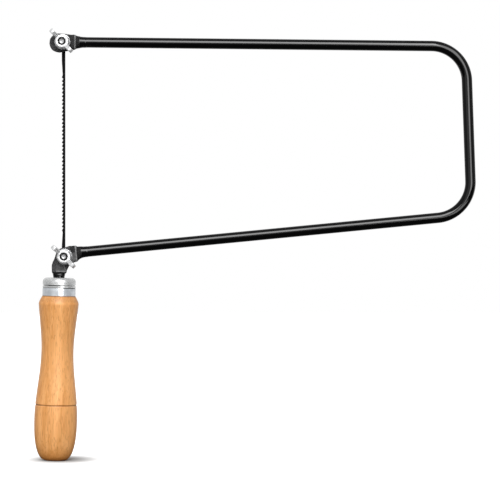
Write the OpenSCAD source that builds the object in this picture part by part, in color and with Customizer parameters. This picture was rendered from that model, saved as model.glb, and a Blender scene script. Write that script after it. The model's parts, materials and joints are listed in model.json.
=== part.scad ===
// Fret saw: a bow bent from one steel rod, with ends forged flat, a slotted clamp bolt and
// wing nut at each end, a fine pinless blade, and a turned wooden handle on the bow's tang.
//
// Axes: the origin is the centre of the handle's end face. +Z runs up along the blade to the
// upper clamp, +X runs from the blade into the throat, and +Y points away from the wing nuts.
// All sizes are in millimetres, and all angles are in degrees.

/* [Blade] */
// Length of the blade
blade_len = 130; // [110:1:160]
// Width of the plain ends
blade_w = 1.7; // [1.4:0.1:2.4]
// Thickness of the blade
blade_t = 0.5; // [0.3:0.05:0.8]
// Width from the back of the blade to the bottom of its gullets
blade_web = 0.8; // [0.5:0.05:1]
// Height of a tooth above its gullet
tooth_h = 0.55; // [0.2:0.05:0.6]
// Distance from one tooth to the next
tooth_pitch = 2.2; // [1.2:0.1:3]
// Distance from a gullet up to the tip of its tooth
tooth_tip = 0.6; // [0.3:0.1:1]
// Length of the plain lower end
plain_low = 8.5; // [7:0.5:14]
// Length of the plain upper end
plain_high = 13; // [7:0.5:16]
// Length over which a plain end narrows to the toothed edge
taper_len = 10; // [5:0.5:14]
// Length of blade that passes the axis of each clamp bolt
blade_tail = 2.25; // [1:0.25:4]

/* [Bow] */
// Depth of the throat, from the back of the blade to the inside of the bow
throat_depth = 233.5; // [150:0.5:300]
// Diameter of the steel rod
rod_d = 6; // [5:0.1:7]
// Radius of the two bends, at the rod's centreline
bend_r = 21; // [15:0.5:32]
// Fall of the upper arm towards the back
upper_arm_fall = 0.6; // [0:0.1:3]
// Rise of the lower arm towards the back
lower_arm_rise = 5.5; // [2:0.1:8]
// Lean of the back away from the blade, going down
back_lean = 2; // [0:0.1:4]
// Growth of the rod's radius where it is bent
bend_growth = 0.02; // [0.01:0.01:0.1]

/* [Forged ends] */
// Thickness of the flattened ends
flat_t = 3; // [2.5:0.1:4]
// Radius of the upper eye's round end
eye_r = 5.6; // [5:0.1:7]
// Distance from the upper bolt back to the centre of the round end
eye_set = 2.1; // [1:0.1:4]
// Distance from the upper bolt to the shoulder of the neck
upper_flat_len = 7; // [6.5:0.1:10]
// Radius of the lower elbow round its bolt
elbow_r = 5; // [4.8:0.1:6]
// Distance from the lower bolt to the shoulder of the lower arm's neck
lower_flat_len = 6.8; // [6.5:0.1:10]
// Height of the lower arm's centreline above the lower bolt
lower_arm_offset = 1.7; // [0:0.1:2.5]
// Half width of a flattened end where it meets its neck
shoulder_half = 4.2; // [3.8:0.1:4.8]
// Drop of the lower arm's shoulder from the arm's centreline
lower_shoulder_drop = 0.6; // [0:0.1:1]
// Length of the sloping shoulder from the flat to the neck
shoulder_len = 1.2; // [0.6:0.1:2]
// Length of the neck from the shoulder to the plain rod
neck_len = 2; // [1.5:0.1:4]
// Growth of the rod's half thickness in the necks
neck_growth = 0.15; // [0.1:0.05:0.3]
// Distance of a neck's edges inside those of its flattened end
neck_inset = 0.15; // [0.05:0.05:0.4]
// Height of the flattened stem, from its lower shoulder to the lower bolt
stem_len = 9; // [7:0.1:12]
// Radius of the stem's bulge on the tang's axis
stem_r = 4.7; // [4.5:0.1:6]
// Length of the stem's straight edges below its bulge
stem_flare = 0.9; // [0.5:0.1:2]
// Length of the round tang inside the handle and its fittings
tang_len = 62; // [40:1:75]
// Length of the tang's tapered point
tang_point_len = 14; // [8:1:20]
// Radius of the tang's tip
tang_point_r = 1.5; // [0.5:0.1:2]

/* [Clamps] */
// Offset of each clamp bolt from the middle of the blade, the upper one forward and the lower one back
bolt_offset = 0.6; // [0:0.1:0.8]
// Width of the bolt's square neck
bolt_neck_w = 6; // [5:0.1:6.4]
// Radius of the bolt's round head
bolt_head_r = 5; // [4.5:0.1:6]
// Thickness of the head at its rim
bolt_rim_t = 1; // [0.6:0.1:2]
// Rise of the head's dome above its rim
bolt_dome = 1.2; // [0.6:0.1:2]
// Diameter of the threaded stud
stud_d = 4; // [3:0.1:4.5]
// Chamfer of the stud's end
stud_chamfer = 0.5; // [0.2:0.1:0.8]
// Depth of the stud's end below the top of the hub
stud_sink = 0.6; // [0.2:0.1:1.5]
// Opening of the jaw when the wing nut is undone
jaw_travel = 1.925; // [1:0.025:2.2]
// Outer diameter of the washer
washer_d = 9.2; // [8:0.1:11]
// Thickness of the washer
washer_t = 0.8; // [0.5:0.1:1.5]

/* [Wing nuts] */
// Radius of the hub at its base
hub_base_r = 4.2; // [3.8:0.1:5]
// Radius of the hub at its top
hub_top_r = 3.2; // [2.8:0.1:3.6]
// Height of the hub
hub_h = 5; // [4:0.1:7]
// Chamfer at the top of the hub's bore
bore_chamfer = 0.4; // [0.2:0.1:0.6]
// Reach of each wing from the axis
wing_reach = 8.9; // [7.5:0.1:12]
// Height of the wing tips above the base
wing_h = 9.4; // [7:0.1:12]
// Height of a wing's foot above the base of the hub
wing_foot = 0.6; // [0.2:0.1:1.5]
// Thickness of a wing
wing_t = 2; // [1.5:0.1:2.6]
// Radius of a wing's round tip
wing_tip_r = 2.2; // [1.5:0.1:3]
// Angle of the upper wing nut's wings below the throat direction
upper_wing_angle = 46; // [0:1:90]
// Angle of the lower wing nut's wings below the throat direction
lower_wing_angle = 43; // [0:1:90]

/* [Handle] */
// Length of the wooden grip, from its end face to its shoulder
handle_len = 96; // [85:1:120]
// Radius of the flat end face
end_r = 5; // [3:0.1:6]
// Largest radius of the belly
belly_r = 12.35; // [11:0.05:14]
// Bluntness of the oval from the end face to the belly
butt_power = 2.1; // [1.8:0.1:3]
// Height of the belly
belly_z = 23.5; // [18:0.5:28]
// Radius of the waist
waist_r = 9.4; // [8:0.05:10.5]
// Height of the waist
waist_z = 64; // [55:0.5:68]
// Radius of the upper swell
swell_r = 11.35; // [10.6:0.05:13]
// Opening of the handle's flare where it reaches the upper swell
swell_flare = 2.2; // [1:0.1:3]
// Distance from the upper swell to the shoulder
swell_drop = 4.5; // [3:0.1:7]
// Height of the turned groove
groove_z = 32.4; // [28:0.1:40]
// Width of the turned groove
groove_w = 0.9; // [0.5:0.1:2]
// Depth of the turned groove
groove_depth = 0.45; // [0.2:0.05:1]
// Lean of the handle from the blade
handle_tilt = 1.5; // [0:0.1:3]
// Distance of the lower bolt from the handle's axis, towards the throat
elbow_reach = 2.75; // [1.5:0.05:3.2]

/* [Ferrule and collar] */
// Outer radius of the ferrule
ferrule_r = 9.65; // [9:0.05:10.2]
// Height of the ferrule
ferrule_h = 4.8; // [4:0.1:9]
// Wall of the ferrule
ferrule_wall = 1.3; // [1:0.1:2]
// Draw-in of the ferrule's upper rim
ferrule_draw = 0.65; // [0.2:0.05:0.9]
// Outer radius of the collar
collar_r = 9.6; // [9:0.05:10.5]
// Height of the collar
collar_h = 5.9; // [4.5:0.1:9]
// Radius of the collar's round top edge
collar_round = 2.4; // [1:0.1:3]
// Chamfer of the collar's lower rim
collar_chamfer = 0.4; // [0.2:0.1:0.8]
// Length of the collar's spigot in the ferrule
collar_spigot_len = 1.4; // [0.8:0.1:1.8]
// Length of plain tang that shows between the collar and the stem's neck
tang_gap = 0.2; // [0.1:0.1:3]

/* [Clearances] */
// Gap on each flat of the blade in its jaw
jaw_play = 0.02; // [0.01:0.01:0.1]
// Gap behind the blade in the bolt's slot
slot_play = 0.1; // [0.05:0.05:0.3]
// Gap round the square neck in its hole
neck_play = 0.1; // [0.05:0.05:0.2]
// Gap round the stud in the washer
washer_play = 0.2; // [0.05:0.05:0.4]
// Gap round the stud in the wing nut
thread_play = 0.06; // [0.02:0.01:0.1]
// Gap between the washer and the wing nut
seat_play = 0.02; // [0.01:0.01:0.1]
// Gap of a driven or pressed fit
press_play = 0.02; // [0.01:0.01:0.05]
// Gap between the handle's spigot and the collar's, inside the ferrule
spigot_gap = 0.5; // [0.2:0.1:1]
// Room below the tang's point in its bore
tang_room = 0.5; // [0.2:0.1:2]

/* [Hidden] */
$fn = 96;
thin = 0.02;
cut = 40;
rod_lap = 0.5;
arc_steps = 24;
ferrule_power = 4;
// A neck's cone is drawn longer than the neck by this factor, so that it ends inside the rod
neck_overrun = 1.5;
rod_r = rod_d / 2;
stud_r = stud_d / 2;

// Heights along the handle's axis, from the end face up
ferrule_z = handle_len;
collar_z = ferrule_z + ferrule_h;
neck_z = collar_z + collar_h;
stem_z = neck_z + tang_gap + neck_len + shoulder_len;
bolt_z = stem_z + stem_len;
bulge_z = stem_z + sqrt(max(0, pow(stem_r, 2) - pow(shoulder_half, 2))) + stem_flare;
tang_end_z = neck_z - tang_len;

// Places in the plane of the bow, as [x, z]
clamp_span = blade_len - 2 * blade_tail;
lower_bolt = tilted([elbow_reach, bolt_z]);
blade_x = lower_bolt.x - bolt_offset;
blade_back_x = blade_x + blade_w / 2;
blade_z = lower_bolt.y - blade_tail;
upper_bolt = [blade_x - bolt_offset, lower_bolt.y + clamp_span];
lower_arm_root = lower_bolt + [0, lower_arm_offset];
back_mid = [blade_back_x + throat_depth + rod_r, (lower_bolt.y + upper_bolt.y) / 2];

// Headings of the bow's three straights, following it from the upper clamp round to the lower
upper_heading = -upper_arm_fall;
back_heading = back_lean - 90;
lower_heading = lower_arm_rise - 180;
upper_corner = meet(upper_bolt, upper_heading, back_mid, back_heading);
lower_corner = meet(lower_arm_root, lower_heading, back_mid, back_heading);
upper_turn = upper_heading - back_heading;
lower_turn = back_heading - lower_heading;
upper_run = bend_r * tan(upper_turn / 2);
lower_run = bend_r * tan(lower_turn / 2);

// Distances along a bolt from the middle of the flattened end, positive towards the wing nut
face = flat_t / 2;
jaw_face = -face - blade_t - 2 * jaw_play;
slot_end = -face + jaw_travel + slot_play;
neck_end = face - slot_play;
washer_end = face + washer_t;
nut_seat = washer_end + seat_play;
stud_end = nut_seat + hub_h - stud_sink;

spigot_r = ferrule_r - ferrule_wall - press_play;
spigot_len = ferrule_h - collar_spigot_len - spigot_gap;

// A unit step along a heading
function unit(a) = [cos(a), sin(a)];

// The point where a line through p on heading a meets a line through q on heading b
function meet(p, a, q, b) = p + unit(a) * cross(q - p, unit(b)) / cross(unit(a), unit(b));

// A point given across and along the handle's axis, as [x, z]
function tilted(p) = [p.x * cos(handle_tilt) + p.y * sin(handle_tilt),
    p.y * cos(handle_tilt) - p.x * sin(handle_tilt)];

// The heading from p to q
function towards(p, q) = atan2(q.y - p.y, q.x - p.x);

// Points along an arc round a centre
function arc(centre, r, from, to) =
    [for (i = [0 : arc_steps]) centre + r * unit(from + (to - from) * i / arc_steps)];

// Direction from a circle's centre to the point where a line from a point outside touches it
function touch(centre, r, point, side) = towards(centre, point) + side * acos(r / norm(point - centre));

// Outline of a flattened end: a round end that narrows or widens to a straight edge across a heading
function paddle_outline(centre, r, edge, heading) =
    let (left = edge + shoulder_half * unit(heading + 90))
    let (right = edge - shoulder_half * unit(heading + 90))
    let (from = touch(centre, r, left, 1))
    let (to = touch(centre, r, right, -1))
    concat([right, left], arc(centre, r, from, to < from ? to + 360 : to));

// Outline between two circles, along the lines that touch both
function link_outline(p, p_r, q, q_r) =
    let (heading = towards(p, q))
    let (spread = acos((p_r - q_r) / norm(q - p)))
    [p + p_r * unit(heading + spread), p + p_r * unit(heading - spread),
        q + q_r * unit(heading - spread), q + q_r * unit(heading + spread)];

// Puts children on the handle's axis
module on_handle_axis() rotate([0, handle_tilt, 0]) children();

// Puts children at a point of the bow's plane, with their X along a heading
module at(p, heading = 0) translate([p.x, 0, p.y]) rotate([0, -heading, 0]) children();

// Puts children on a clamp bolt's axis, with their Z towards the wing nut
module on_bolt(p) translate([p.x, 0, p.y]) rotate([90, 0, 0]) children();

// A straight rod from p to q in the bow's plane, which laps a little into what it meets
module rod(p, q) {
    run = q - p;
    at(p, atan2(run.y, run.x)) rotate([0, 90, 0])
        translate([0, 0, -rod_lap]) cylinder(h = norm(run) + 2 * rod_lap, r = rod_r);
}

// A bend of the rod round a centre, from one direction through a turn
module bend(centre, from, turn) {
    at(centre) rotate([90, 0, 0]) rotate([0, 0, from])
        rotate_extrude(angle = turn) translate([bend_r, 0]) circle(r = rod_r + bend_growth);
}

// A flattened end, drawn in the bow's plane as [x, z]
module flattened() rotate([90, 0, 0]) linear_extrude(flat_t, center = true) children();

// A shoulder and neck along X, which step up from a flattened end and narrow to the plain rod
module forged_neck(x) {
    step_x = x + shoulder_len;
    tip_x = step_x + neck_overrun * neck_len;
    tip_r = shoulder_half - neck_overrun * (shoulder_half - rod_r);
    half_t = rod_r + neck_growth;
    flat_r = norm([shoulder_half - neck_inset, face]);
    intersection() {
        rotate([0, 90, 0]) rotate_extrude()
            polygon([[0, x - rod_lap], [flat_r, x - rod_lap], [flat_r, x], [shoulder_half, step_x],
                [tip_r, tip_x], [0, tip_x]]);
        linear_extrude(cut, center = true)
            polygon([[x - cut, -face], [x, -face], [step_x, -half_t], [x + cut, -half_t],
                [x + cut, half_t], [step_x, half_t], [x, face], [x - cut, face]]);
    }
}

// The square hole for a clamp bolt's neck
module bolt_hole(p) {
    w = bolt_neck_w + 2 * neck_play;
    on_bolt(p) cube([w, w, 2 * flat_t], center = true);
}

module upper_eye() {
    centre = upper_bolt - eye_set * unit(upper_heading);
    edge = upper_bolt + upper_flat_len * unit(upper_heading);
    flattened() polygon(paddle_outline(centre, eye_r, edge, upper_heading));
    at(upper_bolt, upper_heading) forged_neck(upper_flat_len);
}

module lower_elbow() {
    stem_heading = -90 - handle_tilt;
    arm_neck = lower_arm_root - lower_shoulder_drop * unit(lower_arm_rise + 90);
    arm_edge = arm_neck + lower_flat_len * unit(lower_arm_rise);
    arm_rod = lower_arm_root + (lower_flat_len + shoulder_len + neck_len) * unit(lower_arm_rise);
    stem_edge = tilted([0, stem_z]);
    bulge = tilted([0, bulge_z]);
    flattened() {
        polygon(paddle_outline(lower_bolt, elbow_r, arm_edge, lower_arm_rise));
        polygon(paddle_outline(bulge, stem_r, stem_edge, stem_heading));
        polygon(link_outline(bulge, stem_r, lower_bolt, elbow_r));
    }
    at(arm_edge, towards(arm_edge, arm_rod)) forged_neck(0);
    at(stem_edge, stem_heading) forged_neck(0);
}

module tang() {
    on_handle_axis() {
        translate([0, 0, tang_end_z + tang_point_len])
            cylinder(h = tang_len - tang_point_len + tang_gap + rod_lap, r = rod_r);
        translate([0, 0, tang_end_z]) cylinder(h = tang_point_len, r1 = tang_point_r, r2 = rod_r);
    }
}

module frame_bow() {
    neck_run = shoulder_len + neck_len;
    upper_start = upper_bolt + (upper_flat_len + neck_run) * unit(upper_heading);
    upper_end = upper_corner - upper_run * unit(upper_heading);
    back_top = upper_corner + upper_run * unit(back_heading);
    back_low = lower_corner - lower_run * unit(back_heading);
    lower_start = lower_corner + lower_run * unit(lower_heading);
    lower_end = lower_arm_root - (lower_flat_len + neck_run) * unit(lower_heading);
    color([0.03, 0.03, 0.03]) difference() {
        union() {
            rod(upper_start, upper_end);
            bend(upper_end + bend_r * unit(upper_heading - 90), back_heading + 90, upper_turn);
            rod(back_top, back_low);
            bend(back_low + bend_r * unit(back_heading - 90), lower_heading + 90, lower_turn);
            rod(lower_start, lower_end);
            upper_eye();
            lower_elbow();
            tang();
        }
        bolt_hole(upper_bolt);
        bolt_hole(lower_bolt);
    }
}

// Outline of the blade as [distance in front of its back, height above its lower end].
// The teeth point down, so each has its steep side below its tip.
function blade_outline() =
    let (toothed = blade_len - plain_low - plain_high - 2 * taper_len)
    let (count = floor(toothed / tooth_pitch))
    let (first = plain_low + taper_len + (toothed - count * tooth_pitch) / 2)
    concat([[0, blade_len], [0, 0], [blade_w, 0], [blade_w, plain_low]],
        [for (i = [0 : count - 1], step = [[0, 0], [tooth_h, tooth_tip]])
            [blade_web, first + i * tooth_pitch] + step],
        [[blade_web, first + count * tooth_pitch],
            [blade_w, blade_len - plain_high], [blade_w, blade_len]]);

module blade() {
    color([0.06, 0.06, 0.06])
        translate([blade_back_x, face + jaw_play + blade_t, blade_z])
            rotate([90, 0, 0]) linear_extrude(blade_t) mirror([1, 0]) polygon(blade_outline());
}

// A bolt with a domed head behind the blade, a slotted square neck that holds the blade,
// and a threaded stud for the wing nut
module clamp_bolt(p) {
    slot_back = blade_back_x + slot_play - p.x;
    color([0.62, 0.62, 0.62]) on_bolt(p) difference() {
        union() {
            translate([0, 0, jaw_face - bolt_rim_t]) cylinder(h = bolt_rim_t, r = bolt_head_r);
            translate([0, 0, jaw_face - bolt_rim_t]) bolt_dome_cap();
            translate([0, 0, (jaw_face + neck_end) / 2])
                cube([bolt_neck_w, bolt_neck_w, neck_end - jaw_face], center = true);
            translate([0, 0, neck_end])
                cylinder(h = stud_end - neck_end - stud_chamfer, r = stud_r);
            translate([0, 0, stud_end - stud_chamfer])
                cylinder(h = stud_chamfer, r1 = stud_r, r2 = stud_r - stud_chamfer);
        }
        translate([slot_back - cut, -cut / 2, jaw_face]) cube([cut, cut, slot_end - jaw_face]);
    }
}

// The dome of a bolt's head, below the plane of its rim
module bolt_dome_cap() {
    dome_r = (bolt_head_r * bolt_head_r + bolt_dome * bolt_dome) / (2 * bolt_dome);
    intersection() {
        translate([0, 0, dome_r - bolt_dome]) sphere(r = dome_r);
        translate([0, 0, -bolt_dome]) cylinder(h = bolt_dome, r = bolt_head_r);
    }
}

module washer(p) {
    color([0.7, 0.7, 0.7]) on_bolt(p) translate([0, 0, face]) difference() {
        cylinder(h = washer_t, d = washer_d);
        translate([0, 0, -thin]) cylinder(h = washer_t + 2 * thin, r = stud_r + washer_play);
    }
}

// Side view of one wing, as [distance from the axis, height above the base]
module wing_side() {
    tip = [wing_reach - wing_tip_r, wing_h - wing_tip_r];
    foot = [(hub_base_r + hub_top_r) / 2, wing_foot];
    root_x = (stud_r + hub_top_r) / 2;
    crotch = [root_x, hub_h - bore_chamfer];
    translate(tip) circle(r = wing_tip_r);
    polygon([crotch, tip + wing_tip_r * unit(touch(tip, wing_tip_r, crotch, -1)),
        tip + wing_tip_r * unit(touch(tip, wing_tip_r, foot, 1)), foot, [root_x, wing_foot]]);
}

module wing_nut(p, angle) {
    bore_r = stud_r + thread_play;
    color([0.8, 0.8, 0.8]) on_bolt(p) translate([0, 0, nut_seat]) rotate([0, 0, -angle])
        difference() {
            union() {
                cylinder(h = hub_h, r1 = hub_base_r, r2 = hub_top_r);
                for (side = [0, 180]) rotate([90, 0, side])
                    linear_extrude(wing_t, center = true) wing_side();
            }
            translate([0, 0, -thin]) cylinder(h = hub_h + wing_h, r = bore_r);
            translate([0, 0, hub_h - bore_chamfer])
                cylinder(h = bore_chamfer + thin, r1 = bore_r, r2 = bore_r + bore_chamfer);
        }
}

module upper_clamp_bolt() clamp_bolt(upper_bolt);
module lower_clamp_bolt() clamp_bolt(lower_bolt);
module upper_washer() washer(upper_bolt);
module lower_washer() washer(lower_bolt);
module upper_wing_nut() wing_nut(upper_bolt, upper_wing_angle);
module lower_wing_nut() wing_nut(lower_bolt, lower_wing_angle);

// A ring in front of the handle, domed at its top edge, with a spigot that centres it in the ferrule
module tang_collar() {
    top = collar_h - collar_round;
    crown = collar_r - collar_round;
    color([0.75, 0.75, 0.75]) on_handle_axis() translate([0, 0, collar_z]) difference() {
        union() {
            rotate_extrude() polygon(concat(
                [[0, 0], [collar_r - collar_chamfer, 0], [collar_r, 2 * collar_chamfer]],
                [for (a = [0 : 10 : 90]) [crown + collar_round * cos(a), top + collar_round * sin(a)]],
                [[0, collar_h]]));
            translate([0, 0, -collar_spigot_len]) cylinder(h = collar_spigot_len + thin, r = spigot_r);
        }
        translate([0, 0, -cut / 2]) cylinder(h = cut, r = rod_r + neck_play);
    }
}

// A short tube on the handle's spigot, drawn in at its upper rim
module ferrule() {
    color([0.8, 0.81, 0.83]) on_handle_axis() translate([0, 0, ferrule_z]) rotate_extrude()
        polygon(concat([[ferrule_r - ferrule_wall, 0]],
            [for (i = [0 : arc_steps]) let (t = i / arc_steps)
                [ferrule_r - ferrule_draw * pow(t, ferrule_power), t * ferrule_h]],
            [[ferrule_r - ferrule_wall, ferrule_h]]));
}

// Radius of the handle below its belly, a blunt oval that ends in the flat face
function butt_radius(z) =
    end_r + (belly_r - end_r) * pow(1 - pow(1 - z / belly_z, butt_power), 1 / butt_power);

// Radius between the belly and the waist
function flank_radius(z) =
    (belly_r + waist_r) / 2 + (belly_r - waist_r) / 2 * cos(180 * (z - belly_z) / (waist_z - belly_z));

// Radius from the waist up to the swell, level at the waist and still opening at the swell
function throat_radius(t) =
    waist_r + (swell_r - waist_r) * (3 * t * t - 2 * t * t * t) + swell_flare * (t * t * t - t * t);

// Points down one side of the handle, from its end face to its spigot, as [radius, height]
function handle_outline() =
    let (swell_z = handle_len - swell_drop)
    let (steps = [for (i = [1 : arc_steps]) i / arc_steps])
    concat([[0, 0], [end_r, 0]],
        [for (t = steps) let (z = belly_z * t * t) [butt_radius(z), z]],
        [for (t = steps) let (z = belly_z + (waist_z - belly_z) * t) [flank_radius(z), z]],
        [for (t = steps) [throat_radius(t), waist_z + (swell_z - waist_z) * t]],
        [for (t = steps) [ferrule_r, swell_z]
            + [(swell_r - ferrule_r) * cos(90 * t), swell_drop * sin(90 * t)]],
        [[spigot_r, handle_len], [spigot_r, handle_len + spigot_len], [0, handle_len + spigot_len]]);

module handle() {
    bore_r = rod_r + press_play;
    color([0.80, 0.55, 0.30]) on_handle_axis() difference() {
        rotate_extrude() difference() {
            polygon(handle_outline());
            translate([flank_radius(groove_z), groove_z])
                polygon([[-groove_depth, 0], [groove_depth, -groove_w], [groove_depth, groove_w]]);
        }
        translate([0, 0, tang_end_z + tang_point_len]) cylinder(h = cut + tang_len, r = bore_r);
        translate([0, 0, tang_end_z - tang_room])
            cylinder(h = tang_point_len + tang_room, r1 = tang_point_r + press_play, r2 = bore_r);
    }
}

frame_bow();
blade();
upper_clamp_bolt();
upper_washer();
upper_wing_nut();
lower_clamp_bolt();
lower_washer();
lower_wing_nut();
tang_collar();
ferrule();
handle();
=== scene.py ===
"""A fret saw: a black bow bent from one rod, clamps with wing nuts, a fine blade and a turned handle.

Lengths are in millimetres until a mesh is made, and the saw stands in the frame's own axes: +Z up
along the blade, +X into the throat, and the wing nuts on the -Y side. A pair of limits gives the two
ends of a change from 0 to 1, and four limits give a rise and then a fall.
"""

import json
import math

import bpy
import numpy as np
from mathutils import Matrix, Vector


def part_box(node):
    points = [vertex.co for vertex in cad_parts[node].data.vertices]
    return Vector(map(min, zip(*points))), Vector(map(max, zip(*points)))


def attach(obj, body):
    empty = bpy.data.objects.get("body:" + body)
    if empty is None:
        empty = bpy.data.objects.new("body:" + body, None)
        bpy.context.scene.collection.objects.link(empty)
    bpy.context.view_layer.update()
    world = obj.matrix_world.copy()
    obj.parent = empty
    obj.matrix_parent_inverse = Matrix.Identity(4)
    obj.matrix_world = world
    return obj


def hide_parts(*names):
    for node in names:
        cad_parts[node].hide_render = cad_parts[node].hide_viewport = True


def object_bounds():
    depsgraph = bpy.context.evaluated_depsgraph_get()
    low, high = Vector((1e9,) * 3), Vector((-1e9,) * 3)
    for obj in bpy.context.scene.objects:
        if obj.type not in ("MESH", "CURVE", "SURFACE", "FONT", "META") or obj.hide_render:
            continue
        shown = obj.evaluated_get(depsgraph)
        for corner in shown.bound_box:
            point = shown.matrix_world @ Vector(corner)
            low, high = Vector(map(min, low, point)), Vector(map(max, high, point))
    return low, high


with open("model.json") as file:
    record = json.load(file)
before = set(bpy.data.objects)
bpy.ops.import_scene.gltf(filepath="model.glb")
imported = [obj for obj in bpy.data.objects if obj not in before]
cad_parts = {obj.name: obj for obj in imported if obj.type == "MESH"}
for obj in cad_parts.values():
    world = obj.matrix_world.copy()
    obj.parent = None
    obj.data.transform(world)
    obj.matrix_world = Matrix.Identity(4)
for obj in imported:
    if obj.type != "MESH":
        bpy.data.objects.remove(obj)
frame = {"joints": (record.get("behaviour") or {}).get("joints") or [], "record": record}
cad_low, cad_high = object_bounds()

MM = 0.001
ALL_SMOOTH = 180

# The bow
ROD_R = 3.0
ENAMEL = 0.08
BEND_R = 21.0
THROAT_DEPTH = 233.5
UPPER_ARM_FALL = 0.6
LOWER_ARM_RISE = 5.5
BACK_LEAN = 2.0
LOWER_ARM_OFFSET = 1.7
ROD_LAP = 9.0
ROD_CUT = 0.6 * ROD_LAP
LAP_SKIN = 0.8 * ENAMEL

# The forged ends
FLAT_HALF = 1.5
EYE_R = 5.6
EYE_SET = 2.1
EYE_DROP = 0.45
UPPER_FLAT_LEN = 7.0
ELBOW_R = 5.0
ELBOW_CREST = (3.0, 2.2)
ELBOW_CREST_R = 4.0
ELBOW_CREST_END = (0.6, 0.6)
ELBOW_FILLET = 1.5
LOWER_FLAT_LEN = 6.8
SHOULDER_HALF = 4.1
SHOULDER_DROP = 0.6
SHOULDER_LEN = 1.2
SHOULDER_TOP = 1.05 * ROD_R
SHOULDER_ROUND = 0.5
SHOULDER_FILLET = 0.7
FLAT_LAP = 0.4 * SHOULDER_LEN
NECK_LEN = 2.0
NECK_TAPER = 5.0
NECK_R = 0.97 * ROD_R
NECK_SWELL = 0.08 * ROD_R
NECK_RUN = 2.5 * NECK_LEN
STEM_R = 4.7
STEM_SHOULDER_HALF = 3.9
STEM_RISE = 3.0
STEM_Z = 110.1
STEM_OFFSET = -0.3
STEM_MARGIN = 2.6 * NECK_LEN
STEM_BEVEL = 0.4
STEM_BEVEL_EDGE = 1.6
STEM_BEVEL_ROUND = 0.1
RIM_ROUND = 1.3
HOLE_HALF = 3.1
HOLE_ROUND = 0.3
HAMMER_GRAIN = 1.5
HAMMER_DEPTH = 0.035
HAMMER_REACH = (8, 11)
UPPER_SEED = 3
LOWER_SEED = 5
FORGED_CELL = 0.2
TANG_END_Z = 44.7
TANG_POINT_LEN = 14.0
TANG_POINT_R = 1.5

# Wear of the enamel on the forged ends, with painted highlights along their edges and painted light on faces
# of the lower end
SHOULDER_HIGHLIGHT_OFFSET = 0.4
HIGHLIGHT_LINE_WIDTH = 0.4
DULL_END = (0.6, 1.0)
MATT_END = (2.7, 3.5)
SHEEN = 0.8
EYE_SHEEN = (2.5, 4.5)
EYE_HIGHLIGHT_LINE = 0.55
ELBOW_SHEEN = (-4.2, -2.8)
ARM_HIGHLIGHT_LINE = 0.6
ARM_FACE_LIGHT = 0.2
ARM_FACE_START = (-4, -3)
ARM_FACE_END = (0, 0.3)
ARM_FACE_TOP = (0.3, 1.2)
STEM_NECK = (-0.15, 0.1)
STEM_HIGHLIGHT_OFFSET = 0.45
STEM_HIGHLIGHT_LINE = 0.5
STEM_FACE_LIGHT = 0.12
STEM_CLEAR = (-9, -6)
STEM_FLANK = STEM_R - 0.55
STEM_FLARE = 0.33
FACE_FADE = 0.2

# The clamps, along a bolt from the middle of the flattened end towards the wing nut
JAW_FACE = -2.04
SLOT_END = 0.525
NECK_END = 1.4
WASHER_START = 1.5
WASHER_END = 2.3
NUT_SEAT = 2.32
STUD_END = 6.72
BOLT_HEAD_R = 5.0
BOLT_HEAD_ROUND = 0.7
BOLT_RIM = 1.0
BOLT_DOME = 1.2
BOLT_NECK_HALF = 3.0
BOLT_NECK_CORNER_R = 1.35 * BOLT_NECK_HALF
BOLT_NECK_ROUND = 0.3
BOLT_NECK_RIM = 0.2
BOLT_CELL = 0.11
JAW_ROUND = 0.25
SLOT_PLAY = 0.1
STUD_R = 2.0
STUD_CHAMFER = 0.5
STUD_CHAMFER_SLOPE = 0.7
STUD_EDGE = 0.1
STUD_FACE_R = 1.2
STUD_CUP = 0.25
# How far out the thread and the bore are darkened, with dirt and painted shade in the recess
GRIME_SHADE_R = STUD_R + 0.35
GRIME_SHADE_FADE = 0.12
THREAD_PITCH = 0.7
THREAD_DEPTH = 0.32
THREAD_SLOPE = 0.75
WASHER_R = 4.6
WASHER_HOLE_R = 2.2
WASHER_TOP_ROUND = 0.25
WASHER_FOOT_ROUND = 0.2

# The wing nuts
HUB_BASE_R = 4.4
HUB_TOP_R = 3.9
HUB_H = 5.0
HUB_ROUND = 0.7
BORE_R = 2.06
BORE_CHAMFER = 0.4
WING_ROOT = (4.2, 2.1)
WING_ROOT_R = 1.9
WING_TIP = (6.95, 7.0)
WING_TIP_R = 2.1
WING_HALF = 1.15
WING_ROUND = 0.35
WING_FILLET = 0.5
CAST_DEPTH = 0.008
CAST_GRAIN = 2.2
NUT_CELL = 0.14
UPPER_WING_ANGLE = 46.0
LOWER_WING_ANGLE = 43.0

# The handle, its ferrule and the collar, along the handle's axis from its end face
HANDLE_LEN = 96.0
END_R = 5.0
BELLY_R = 12.5
BELLY_Z = 23.5
BUTT_POWER = 2.4
BUTT_RINGS = 28
WAIST_R = 9.4
WAIST_Z = 64.0
SWELL_R = 11.65
SWELL_DROP = 4.5
SWELL_FLARE = 2.2
SHOULDER_POWER = 1.4
SHOULDER_RINGS = 10
GROOVE_Z = 32.4
GROOVE_HALF = 0.6
GROOVE_DEPTH = 0.3
GROOVE_POWER = 0.8
GROOVE_RINGS = 25
SPIGOT_R = 8.33
SPIGOT_LEN = 2.9
TANG_BORE_R = 3.02
TANG_BORE_END_Z = TANG_END_Z - 0.5
FERRULE_R = 9.65
FERRULE_H = 4.8
FERRULE_WALL = 1.3
FERRULE_DRAW = 0.12
FERRULE_DRAW_POWER = 7
FERRULE_RINGS = 20
FERRULE_EDGE = 0.2
FERRULE_CHAMFER = 0.25
FERRULE_SIDE_H = FERRULE_H - 0.3
COLLAR_R = 9.6
COLLAR_H = 5.9
COLLAR_ROUND = 2.4
COLLAR_FOOT_ROUND = 0.25
COLLAR_BORE_R = 3.1
COLLAR_SPIGOT = 1.4
COLLAR_LIP = 1.4
COLLAR_GROOVE_HALF = 0.3
COLLAR_GROOVE_FLAT = 0.1
COLLAR_GROOVE_DEPTH = 0.7
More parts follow.
